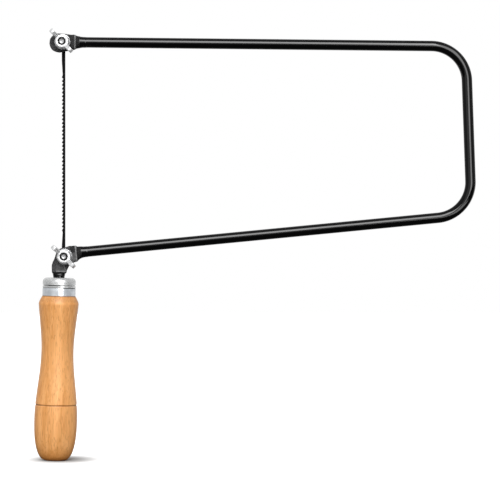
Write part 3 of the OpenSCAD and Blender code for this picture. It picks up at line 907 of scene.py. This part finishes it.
def handle_beech():
    """Turned beech: growth rings cut lengthwise, long fibres, short dark flecks, a scorched groove, and
    painted shade at the shoulder and below the ferrule.
    """
    material, tree, shader = new_material("handle_beech")
    shader.inputs["Specular IOR Level"].default_value = BEECH_SPECULAR
    shader.inputs["Coat Weight"].default_value = BEECH_OIL
    shader.inputs["Coat Roughness"].default_value = BEECH_OIL_ROUGH
    lean = {"Vector": object_place(tree), "Rotation": HANDLE_TURN, "Scale": (1 / MM,) * 3}
    upright = shade(tree, "ShaderNodeMapping", lean).outputs[0]

    def streaks(across, along, detail):
        """Noise that is drawn out along the handle, with so many waves to a millimetre each way."""
        drawn = {"Vector": upright, "Scale": (across, across, along)}
        squeezed = shade(tree, "ShaderNodeMapping", drawn).outputs[0]
        values = {"Vector": squeezed, "Scale": 1.0, "Detail": detail, "Roughness": 0.5}
        return shade(tree, "ShaderNodeTexNoise", values).outputs["Fac"]

    shift = vector_math(tree, "ADD", upright, (-PITH[0], -PITH[1], 0))["Vector"]
    flat = vector_math(tree, "MULTIPLY", shift, (1, 1, RING_SLANT))["Vector"]
    reach = vector_math(tree, "LENGTH", flat)["Value"]
    wander = times(tree, streaks(0.06, 0.018, 2.0), RING_WANDER)
    ring = math_node(tree, "DIVIDE", plus(tree, reach, wander), RING_GAP)
    late = ramp(tree, math_node(tree, "FRACT", ring), 0.25, 1.0)
    fibre = ramp(tree, streaks(0.3, 0.012, 2.0), 0.34, 0.66)
    fine = ramp(tree, streaks(1.2, 0.045, 3.0), 0.3, 0.7)
    fleck = ramp(tree, streaks(1.7, 0.2, 1.0), 0.57, 0.67)
    contour = math_node(tree, "ABSOLUTE", math_node(tree, "SUBTRACT", streaks(0.5, 0.045, 1.0), 0.5))
    line = ramp(tree, contour, 0.008, 0.035, 1.0, 0.0)
    # Scorch in the groove, and painted shade below the ferrule and on the shoulder
    burn_and_shade = times(tree, painted(tree, "burn_and_shade"), 0.8)
    colour = mixed(tree, fibre, BEECH_DARK, BEECH_PALE)
    for share, tone in (
        (times(tree, late, 0.3), BEECH_LATE),
        (times(tree, fine, 0.4), BEECH_FINE),
        (times(tree, line, 0.35), BEECH_LINE),
        (times(tree, fleck, 0.4), BEECH_FLECK),
        (painted(tree, "end_grain"), BEECH_END),
        (burn_and_shade, BEECH_BURNT_AND_SHADE),
    ):
        colour = mixed(tree, share, colour, tone)
    height = math_node(tree, "SUBTRACT", fine, times(tree, fleck, 1.5))
    connect(tree, shader, colour, ramp(tree, fine, 0, 1, *BEECH_ROUGH), bump(tree, height, 0.25, BEECH_RELIEF))
    return material


# The bow


def bow_path():
    """The rod's centreline, from inside the upper neck round the bends to inside the lower neck."""
    back = BACK_LEAN - 90
    mid = np.array([BLADE_HIGH[0] + THROAT_DEPTH + ROD_R, (LOWER_BOLT[1] + UPPER_BOLT[1]) / 2])
    upper_corner = meet(UPPER_BOLT, -UPPER_ARM_FALL, mid, back)
    lower_corner = meet(ARM_ROOT, LOWER_ARM_RISE, mid, back)
    end = ARM_ROD + (ROD_CUT - NECK_LEN) * unit(LOWER_ARM_RISE)
    path = [UPPER_BOLT + (UPPER_FLAT_LEN + SHOULDER_LEN + ROD_CUT) * unit(-UPPER_ARM_FALL)]
    bends = ((upper_corner, -UPPER_ARM_FALL, back), (lower_corner, back, LOWER_ARM_RISE - 180))
    for corner, heading, after in bends:
        run = BEND_R * math.tan(math.radians((heading - after) / 2))
        centre = corner - run * unit(heading) + BEND_R * unit(heading - 90)
        straight = np.linspace(path[-1], corner - run * unit(heading), 24)[1:-1]
        path += [*straight, *(centre + BEND_R * unit(a) for a in np.linspace(heading + 90, after + 90, 40))]
    return np.array([*path, *np.linspace(path[-1], end, 24)[1:]])


def rubbed_highlight_line(off):
    """A line about half a millimetre wide, painted lighter as a highlight where an edge would catch the light,
    and where the enamel wears thin.
    """
    return np.exp(-((off / HIGHLIGHT_LINE_WIDTH) ** 2))


def dullness(past):
    """How grey the enamel is at a place past a shoulder: fully on the flat and not on the neck."""
    return 1 - smooth_step(*DULL_END, past)


def mattness(past):
    """How matt the enamel is at a place past a shoulder: fully on the flat and the neck, not on the rod."""
    return 1 - smooth_step(*MATT_END, past)


def add_bow_piece(name, points, faces, enamel, sharp=40):
    """Makes one piece of the bow, on the frame."""
    return add_piece(name, points, faces, "frame", "frame_bow", enamel, sharp)


def make_upper_eye(enamel, front, back):
    """The upper end, greyest on the eye, with a painted highlight line along its shoulder."""
    low = (UPPER_BOLT[0] - EYE_SET - EYE_R, front, UPPER_BOLT[1] - EYE_DROP - EYE_R)
    high = (UPPER_BOLT[0] + UPPER_FLAT_LEN + SHOULDER_LEN + ROD_LAP, back, UPPER_BOLT[1] + EYE_R)
    points, faces = skin(upper_eye_field, low, high, FORGED_CELL)
    eye = add_bow_piece("upper_eye", points, faces, enamel, ALL_SMOOTH)
    along, _ = local(points[:, 0], points[:, 2], UPPER_BOLT, -UPPER_ARM_FALL)
    past = along - UPPER_FLAT_LEN
    paint(eye, "forging", dullness(past) * (1 - SHEEN * smooth_step(*EYE_SHEEN, along)))
    paint(eye, "matt", mattness(past))
    # Painted highlight line along the shoulder ridge, where the edge would catch the light
    paint(eye, "wear_and_highlight", EYE_HIGHLIGHT_LINE * rubbed_highlight_line(past - SHOULDER_HIGHLIGHT_OFFSET))


def make_lower_elbow(enamel, front, back):
    """The lower end, with painted highlight lines along its edges and painted light on faces of the stem and
    the arm.
    """
    low = (STEM_BULGE[0] - STEM_R, front, STEM_EDGE[1] - SHOULDER_LEN - STEM_MARGIN)
    high = (ARM_ROD[0] + ROD_LAP, back, ARM_ROD[1] + SHOULDER_HALF)
    points, faces = skin(lower_elbow_field, low, high, FORGED_CELL)
    elbow = add_bow_piece("lower_elbow", points, faces, enamel, ALL_SMOOTH)
    along_arm, across_arm = along_lower_arm(points[:, 0], points[:, 2])
    along_stem, across_stem = local(points[:, 0], points[:, 2], STEM_EDGE, STEM_HEADING)
    on_neck = smooth_step(*STEM_NECK, along_stem)
    on_flat = 1 - on_neck
    beside_arm = 1 - SHEEN * smooth_step(*ELBOW_SHEEN, along_arm)
    paint(elbow, "forging", np.minimum(dullness(along_arm), on_flat) * beside_arm)
    paint(elbow, "matt", mattness(along_arm) * (1 - SHEEN * on_neck))
    flank = STEM_FLANK + STEM_FLARE * along_stem
    beside_nut = smooth_step(*STEM_CLEAR, along_stem)
    stem_face = smooth_step(-STEM_BEVEL_EDGE - FACE_FADE, -STEM_BEVEL_EDGE + FACE_FADE, across_stem) * on_flat
    stem_face *= beside_nut * (1 - smooth_step(flank - FACE_FADE, flank + FACE_FADE, across_stem))
    arm_face = smooth_step(*ARM_FACE_START, along_arm) * (1 - smooth_step(*ARM_FACE_END, along_arm))
    arm_face *= 1 - smooth_step(*ARM_FACE_TOP, across_arm)
    # Painted highlight lines along the shoulders and bevel edges, and painted light on the faces of the stem
    # and the arm
    wear_and_highlight = [
        ARM_HIGHLIGHT_LINE * rubbed_highlight_line(along_arm),
        STEM_HIGHLIGHT_LINE * rubbed_highlight_line(along_stem + STEM_HIGHLIGHT_OFFSET) * stem_face,
        STEM_HIGHLIGHT_LINE * rubbed_highlight_line(across_stem - flank) * beside_nut * on_flat,
        STEM_FACE_LIGHT * stem_face,
        ARM_FACE_LIGHT * arm_face,
    ]
    paint(elbow, "wear_and_highlight", np.max(wear_and_highlight, axis=0))


def make_bow():
    """The bent rod, its two forged ends, and the tang that runs down into the handle."""
    enamel = bow_enamel()
    add_bow_piece("bow_rod", *sweep(bow_path(), ROD_R + ENAMEL), enamel)
    low, high = (np.array(corner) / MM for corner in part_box("frame_bow"))
    make_upper_eye(enamel, low[1], high[1])
    make_lower_elbow(enamel, low[1], high[1])
    top = STEM_Z - SHOULDER_LEN - 0.5 * NECK_LEN
    point = [(0, TANG_END_Z), (TANG_POINT_R, TANG_END_Z), (ROD_R, TANG_END_Z + TANG_POINT_LEN)]
    points, faces = lathe([*point, (ROD_R, top), (0, top)], segments=64)
    add_bow_piece("tang", along_handle(points), faces, enamel)


# The clamps and the blade


def add_clamp_piece(node, field, cell, bolt, zinc):
    """Makes a bolt or a wing nut. Gives the piece, its points, and their distances from the bolt's axis."""
    low, high = (np.array(corner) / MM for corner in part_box(node))
    points, faces = skin(field, low, high, cell)
    made = add_piece(f"{node}_plated", points, faces, node, node, zinc, sharp=50)
    radius = np.hypot(points[:, 0] - bolt[0], points[:, 2] - bolt[1])
    return made, points, radius


def thread_edge(inside):
    """Goes from 0 to 1 over a narrow edge of the dirt and painted shade in a thread or bore."""
    return smooth_step(-GRIME_SHADE_FADE, GRIME_SHADE_FADE, inside)


def make_clamp_bolt(node, bolt, zinc):
    """A bolt, with dirt and painted shade in the thread and none on the end of the stud."""
    made, points, radius = add_clamp_piece(node, clamp_bolt_field(bolt), BOLT_CELL, bolt, zinc)
    on_stud = -points[:, 1] > NECK_END
    paint(made, "grime_and_shade", thread_edge(GRIME_SHADE_R - radius) * thread_edge(radius - STUD_FACE_R) * on_stud)


def make_wing_nut(node, bolt, angle, zinc):
    """A wing nut, with dirt and painted shade in its bore."""
    field = wing_nut_field(bolt, angle)
    made, _, radius = add_clamp_piece(node, field, NUT_CELL, bolt, zinc)
    paint(made, "grime_and_shade", thread_edge(GRIME_SHADE_R - radius))


def make_washer(node, bolt, zinc):
    """A washer with rounded rims, which stays on the bow when its nut is undone."""
    top, foot = WASHER_TOP_ROUND, WASHER_FOOT_ROUND
    profile = [
        *arc((WASHER_R - top, WASHER_END - top), top, 90, 0),
        *arc((WASHER_R - foot, WASHER_START + foot), foot, 0, -90),
        (WASHER_HOLE_R, WASHER_START),
        (WASHER_HOLE_R, WASHER_END),
    ]
    points, faces = lathe(profile[::-1], segments=72)
    add_piece(f"{node}_plated", along_bolt(points, bolt), faces, "frame", node, zinc, sharp=30)


def make_clamps():
    """The bolt, wing nut and washer of both clamps."""
    bolt_zinc = plating("plated_bolt", BOLT_ZINC, (0.42, 0.55), grain=0.8, relief=0.01, bare=0.4)
    washer_zinc = plating("plated_washer", WASHER_ZINC, (0.3, 0.4), grain=1.0, relief=0.005, bare=0.75)
    nut_zinc = plating("plated_wing_nut", NUT_ZINC, (0.34, 0.42), grain=1.6, relief=0.003, bare=0.45)
    clamps = (("upper", UPPER_BOLT, UPPER_WING_ANGLE), ("lower", LOWER_BOLT, LOWER_WING_ANGLE))
    for side, bolt, angle in clamps:
        make_clamp_bolt(f"{side}_clamp_bolt", bolt, bolt_zinc)
        make_wing_nut(f"{side}_wing_nut", bolt, angle, nut_zinc)
        make_washer(f"{side}_washer", bolt, washer_zinc)


def blade_stations():
    """Heights above the lower end, the blade's width there, and how far that edge is set to one side."""
    length = BLADE_HIGH[2] - BLADE_LOW[2]
    width = BLADE_HIGH[0] - BLADE_LOW[0] + BLADE_FILM
    web = BLADE_WEB + BLADE_FILM
    toothed = length - PLAIN_LOW - PLAIN_HIGH - 2 * BLADE_TAPER
    count = int(toothed / TOOTH_PITCH)
    first = PLAIN_LOW + BLADE_TAPER + (toothed - count * TOOTH_PITCH) / 2
    stations = [(0, width, 0), (PLAIN_LOW, width, 0)]
    for i in range(count):
        gullet = first + i * TOOTH_PITCH
        stations.append((gullet, web if i else web + BLADE_RUN_OUT, 0))
        stations.append((gullet + TOOTH_TIP, web + BLADE_TOOTH, TOOTH_SET if i % 2 else -TOOTH_SET))
    stations.append((first + count * TOOTH_PITCH, web + BLADE_RUN_OUT, 0))
    return [*stations, (length - PLAIN_HIGH, width, 0), (length, width, 0)]


def make_blade():
    """A strip whose section at each station is a thin bar with small chamfers, of eight points."""
    back, front, near = BLADE_HIGH[0], BLADE_LOW[1], BLADE_HIGH[1]
    e, points, faces = BLADE_EDGE, [], []
    for height, width, lean in blade_stations():
        z, edge = BLADE_LOW[2] + height, back - width
        points += [(back - e, front, z), (back, front + e, z), (back, near - e, z), (back - e, near, z),
                   (edge + e, near + lean, z), (edge, near - e + lean, z), (edge, front + e + lean, z),
                   (edge + e, front + lean, z)]
    last = len(points) - 8
    for row in range(0, last, 8):
        for i in range(8):
            j = (i + 1) % 8
            faces.append((row + i, row + j, row + 8 + j, row + 8 + i))
    faces += [range(7, -1, -1), range(last, last + 8)]
    add_piece("toothed_blade", points, faces, "blade", "blade", blade_steel(), sharp=20)


# The handle


def handle_radius(z):
    """The handle's radius at a height above its end face, without the groove."""
    swell_z = HANDLE_LEN - SWELL_DROP
    if z < BELLY_Z:
        return END_R + (BELLY_R - END_R) * (1 - (1 - z / BELLY_Z) ** BUTT_POWER) ** (1 / BUTT_POWER)
    if z < WAIST_Z:
        wave = math.cos(math.pi * (z - BELLY_Z) / (WAIST_Z - BELLY_Z))
        return (BELLY_R + WAIST_R) / 2 + (BELLY_R - WAIST_R) / 2 * wave
    if z < swell_z:
        t = (z - WAIST_Z) / (swell_z - WAIST_Z)
        return WAIST_R + (SWELL_R - WAIST_R) * (3 * t**2 - 2 * t**3) + SWELL_FLARE * (t**3 - t**2)
    t = min(1, (z - swell_z) / SWELL_DROP)
    return FERRULE_R + (SWELL_R - FERRULE_R) * (1 - t**SHOULDER_POWER)


def butt_slope(z):
    """How fast the handle widens at a height, up to its belly."""
    return (handle_radius(min(z + SLOPE_STEP, BELLY_Z)) - handle_radius(min(z, BELLY_Z))) / SLOPE_STEP


def handle_outside():
    """The profile of the handle's outside, with rings close together in the groove."""
    heights = [BELLY_Z * (i / BUTT_RINGS) ** 2 for i in range(BUTT_RINGS)]
    heights += list(np.arange(BELLY_Z, HANDLE_LEN - SWELL_DROP, 1.0))
    for i in range(SHOULDER_RINGS + 1):
        heights.append(HANDLE_LEN - SWELL_DROP * (1 - math.sin(math.pi / 2 * i / SHOULDER_RINGS)))
    heights = [z for z in heights if abs(z - GROOVE_Z) > 1.6 * GROOVE_HALF]
    heights += list(np.linspace(GROOVE_Z - 1.5 * GROOVE_HALF, GROOVE_Z + 1.5 * GROOVE_HALF, GROOVE_RINGS))
    outside = []
    for z in sorted(heights):
        dip = max(0, 1 - ((z - GROOVE_Z) / GROOVE_HALF) ** 2)
        outside.append((handle_radius(z) - GROOVE_DEPTH * dip**GROOVE_POWER, z))
    return outside


def make_handle():
    """The handle, scorched in its groove, with painted shade along its shoulder and below the ferrule, and
    darker on the end grain of the butt.
    """
    spigot_z = HANDLE_LEN + SPIGOT_LEN
    spigot = [(SPIGOT_R, HANDLE_LEN), (SPIGOT_R, spigot_z), (TANG_BORE_R, spigot_z)]
    bore = [(TANG_BORE_R, TANG_END_Z + TANG_POINT_LEN), (TANG_POINT_R, TANG_BORE_END_Z), (0, TANG_BORE_END_Z)]
    profile = [(0, 0), *handle_outside(), *spigot, *bore]
    beech = handle_beech()
    handle, points = add_turned("turned_handle", profile, "handle", beech,
                                sharp=50, segments=160)
    scorch = np.abs(points[:, 2] - GROOVE_Z) / GROOVE_HALF
    below_top = HANDLE_LEN - points[:, 2]
    # The groove is scorched; below the ferrule and on the shoulder the darkening is painted shade
    burn_and_shade = [
        GROOVE_BURN * (1 - smooth_step(*GROOVE_BURN_FADE, scorch)),
        JOINT_SHADE * (1 - smooth_step(*JOINT_SHADE_FADE, below_top)),
        SHOULDER_SHADE * (1 - smooth_step(*SHOULDER_SHADE_FADE, below_top)),
    ]
    outer = np.hypot(points[:, 0], points[:, 1]) > WAIST_R
    paint(handle, "burn_and_shade", np.where(outer, np.max(burn_and_shade, axis=0), 0))
    spread = np.array([butt_slope(z) for z in points[:, 2]])
    paint(handle, "end_grain", smooth_step(*END_GRAIN_SLOPE, spread / np.hypot(1, spread)))


def right_side(points):
    """How far to the right of the handle's axis a point of a ring lies, from -1 to 1."""
    return points[:, 0] / np.hypot(points[:, 0], points[:, 1])


def joint_grime_and_shade(points):
    """Dirt and painted shade in the joint of ferrule and collar, the painted shade mostly on the right."""
    return JOINT_GRIME_AND_SHADE + (1 - JOINT_GRIME_AND_SHADE) * smooth_step(*JOINT_SHADE_SIDE, right_side(points))


def make_ferrule():
    """The bright ring on the handle's spigot, drawn in a little at its top."""
    nickel = plating("ferrule_plating", FERRULE_NICKEL, (0.16, 0.22), grain=2.0, relief=0.006,
                     turned=0.5, bare=0.45)
    wall = FERRULE_R - FERRULE_WALL
    profile = [(wall, 0), (FERRULE_R - FERRULE_CHAMFER, 0)]
    for i in range(FERRULE_RINGS + 1):
        share = i / FERRULE_RINGS
        radius = FERRULE_R - FERRULE_DRAW * share**FERRULE_DRAW_POWER
        profile.append((radius, share * FERRULE_SIDE_H + FERRULE_EDGE))
    profile.append((wall, FERRULE_H))
    profile = [(r, z + FERRULE_Z) for r, z in profile]
    made, points = add_turned("nickel_ferrule", profile, "ferrule", nickel)
    # Painted shade with some dirt at the ferrule's top, next to the collar
    paint(made, "grime_and_shade", smooth_step(*FERRULE_JOINT_SHADE, points[:, 2] - COLLAR_Z) * joint_grime_and_shade(points))


def make_collar():
    """The domed ring that the tang passes through, with a groove above its lip."""
    zinc = plating("collar_zinc", COLLAR_ZINC, (0.22, 0.32), grain=1.5, relief=0.004, turned=0.35, bare=0.5)
    groove_r = COLLAR_R - COLLAR_GROOVE_DEPTH
    profile = [
        (COLLAR_BORE_R, -COLLAR_SPIGOT),
        (SPIGOT_R, -COLLAR_SPIGOT),
        (SPIGOT_R, 0),
        *arc((COLLAR_R - COLLAR_FOOT_ROUND, COLLAR_FOOT_ROUND), COLLAR_FOOT_ROUND, -90, 0),
        (COLLAR_R, COLLAR_LIP - COLLAR_GROOVE_HALF),
        (groove_r, COLLAR_LIP - COLLAR_GROOVE_FLAT),
        (groove_r, COLLAR_LIP + COLLAR_GROOVE_FLAT),
        (COLLAR_R, COLLAR_LIP + COLLAR_GROOVE_HALF),
        *arc((COLLAR_R - COLLAR_ROUND, COLLAR_H - COLLAR_ROUND), COLLAR_ROUND, 0, 90, 16),
        (COLLAR_BORE_R, COLLAR_H),
    ]
    profile = [(r, z + COLLAR_Z) for r, z in profile]
    made, points = add_turned("zinc_collar", profile, "tang_collar", zinc)
    height = points[:, 2] - COLLAR_Z
    # Painted shade in the groove, fading towards the sides, and at the joint with the ferrule, with some dirt
    aside = np.abs(right_side(points) - GROOVE_SHADE_CENTRE)
    in_groove = np.abs(height - COLLAR_LIP) < 0.5 * COLLAR_GROOVE_HALF
    in_groove = in_groove * (1 - GROOVE_SHADE_LOSS * smooth_step(*GROOVE_SHADE_FADE, aside))
    at_joint = (1 - smooth_step(*COLLAR_JOINT_SHADE, height)) * joint_grime_and_shade(points)
    paint(made, "grime_and_shade", np.maximum(in_groove, at_joint))


# Studio


def aim(thing, place, target):
    """Puts a lamp or camera at a place, in millimetres, and turns it to a target."""
    thing.location = Vector(place) * MM
    thing.rotation_euler = Vector(np.subtract(target, place)).to_track_quat("-Z", "Y").to_euler()
    bpy.context.scene.collection.objects.link(thing)


def make_key_panel():
    """A soft rectangular lamp that faces the saw from above the camera."""
    lamp = bpy.data.lights.new("key_panel", "AREA")
    lamp.shape = "RECTANGLE"
    lamp.size = KEY_SIZE[0] * MM
    lamp.size_y = KEY_SIZE[1] * MM
    lamp.energy = math.pi * lamp.size * lamp.size_y * KEY_RADIANCE
    a, e = math.radians(KEY_AZIMUTH), math.radians(KEY_ELEVATION)
    way = np.array([math.sin(a) * math.cos(e), -math.cos(a) * math.cos(e), math.sin(e)])
    made = bpy.data.objects.new("key_panel", lamp)
    made.visible_camera = False
    aim(made, VIEW_CENTRE + KEY_DISTANCE * way, VIEW_CENTRE)


def seen_directly(tree):
    """Whether a ray is from the camera, and whether it is from the camera, from gloss or through glass."""
    path = shade(tree, "ShaderNodeLightPath").outputs
    either = larger(tree, path["Is Camera Ray"], path["Is Glossy Ray"])
    return path["Is Camera Ray"], larger(tree, either, path["Is Transmission Ray"])


def make_surround():
    """White all round for the camera. Gloss sees a pale backdrop behind the saw and a dim room before it,
    with a wall across its middle and a bright upright band at the right. Other rays see an even light."""
    world = bpy.data.worlds.new("studio")
    bpy.context.scene.world = world
    world.use_nodes = True
    tree = world.node_tree
    camera, direct = seen_directly(tree)
    way = shade(tree, "ShaderNodeTexCoord").outputs["Generated"]
    side, depth, height = shade(tree, "ShaderNodeSeparateXYZ", {"Vector": way}).outputs
    backdrop = ramp(tree, depth, 0.35, 0.9, 0.0, BACKDROP_GLOW)
    room = plus(tree, ramp(tree, depth, -0.8, 0.0, *ROOM_GLOW), backdrop)
    low = larger(tree, ramp(tree, height, -0.45, -0.05, 0.2, 1.0), ramp(tree, depth, 0.2, 0.5))
    wall = times(tree, between(tree, side, *WALL_SIDE), between(tree, height, *WALL_HEIGHT))
    band = times(tree, between(tree, side, *BAND_SIDE), between(tree, height, *BAND_HEIGHT))
    boxes = plus(tree, times(tree, wall, WALL_GLOW), times(tree, band, BAND_GLOW))
    before = ramp(tree, depth, -0.4, -0.1, 1.0, 0.0)
    room = plus(tree, times(tree, room, low), times(tree, boxes, before))
    from_behind = ramp(tree, depth, 0.2, 0.9, 0.0, AMBIENT_BACKDROP)
    ambient = plus(tree, ramp(tree, side, -1.0, 1.0, *AMBIENT_SIDES), from_behind)
    strength = mixed_value(tree, direct, ambient, larger(tree, room, camera))
    tree.links.new(strength, tree.nodes["Background"].inputs["Strength"])
    tree.nodes["Background"].inputs["Color"].default_value = (1, 1, 1, 1)


def make_floor():
    """A white floor with a painted shadow: its glow is held back in an ellipse round the handle's foot, where
    the real shadow also falls, and it runs into the white backdrop further off.
    A bright card lies on it at the right, which only gloss sees."""
    bpy.ops.mesh.primitive_plane_add(size=FLOOR_SIZE, location=(0, 0, cad_low.z))
    floor = bpy.context.object
    floor.name = "floor"
    material, tree, shader = new_material("floor_white")
    shader.inputs["Roughness"].default_value = 0.9
    shader.inputs["Specular IOR Level"].default_value = 0.0
    shader.inputs["Emission Color"].default_value = (1, 1, 1, 1)
    camera, direct = seen_directly(tree)
    unseen = mixed(tree, direct, FLOOR_BOUNCE, FLOOR_IN_GLOSS)
    tree.links.new(mixed(tree, camera, unseen, FLOOR_SEEN), shader.inputs["Base Color"])
    place = object_place(tree)
    side, depth, _ = shade(tree, "ShaderNodeSeparateXYZ", {"Vector": place}).outputs
    # Painted shadow: no glow inside an ellipse round the handle's foot, so the floor there stays dark even
    # where no real shadow falls
    shadow = {"Vector": place, "Location": SHADOW_SHIFT, "Scale": SHADOW_SCALE}
    reach = shade(tree, "ShaderNodeMapping", shadow).outputs[0]
    off = vector_math(tree, "LENGTH", reach)["Value"]
    behind = larger(tree, ramp(tree, depth, 0.0, 0.5), camera)
    glow = times(tree, ramp(tree, off, *SHADOW_FADE), times(tree, behind, direct))
    card = times(tree, between(tree, depth, *CARD_DEPTH), between(tree, side, *CARD_SIDE))
    only_gloss = math_node(tree, "SUBTRACT", direct, camera)
    card = times(tree, times(tree, card, CARD_GLOW), only_gloss)
    tree.links.new(plus(tree, glow, card), shader.inputs["Emission Strength"])
    floor.data.materials.append(material)


def make_camera():
    """A level camera before the saw."""
    lens = bpy.data.cameras.new("photo_view")
    lens.sensor_width = 36
    lens.lens = lens.sensor_width * VIEW_DISTANCE / VIEW_WIDTH
    camera = bpy.data.objects.new("photo_view", lens)
    aim(camera, VIEW_CENTRE - (0, VIEW_DISTANCE, 0), VIEW_CENTRE)
    bpy.context.scene.camera = camera


make_camera()
make_surround()
make_floor()
make_key_panel()
make_bow()
make_clamps()
make_blade()
make_handle()
make_ferrule()
make_collar()

bpy.context.scene.view_settings.view_transform = "Standard"
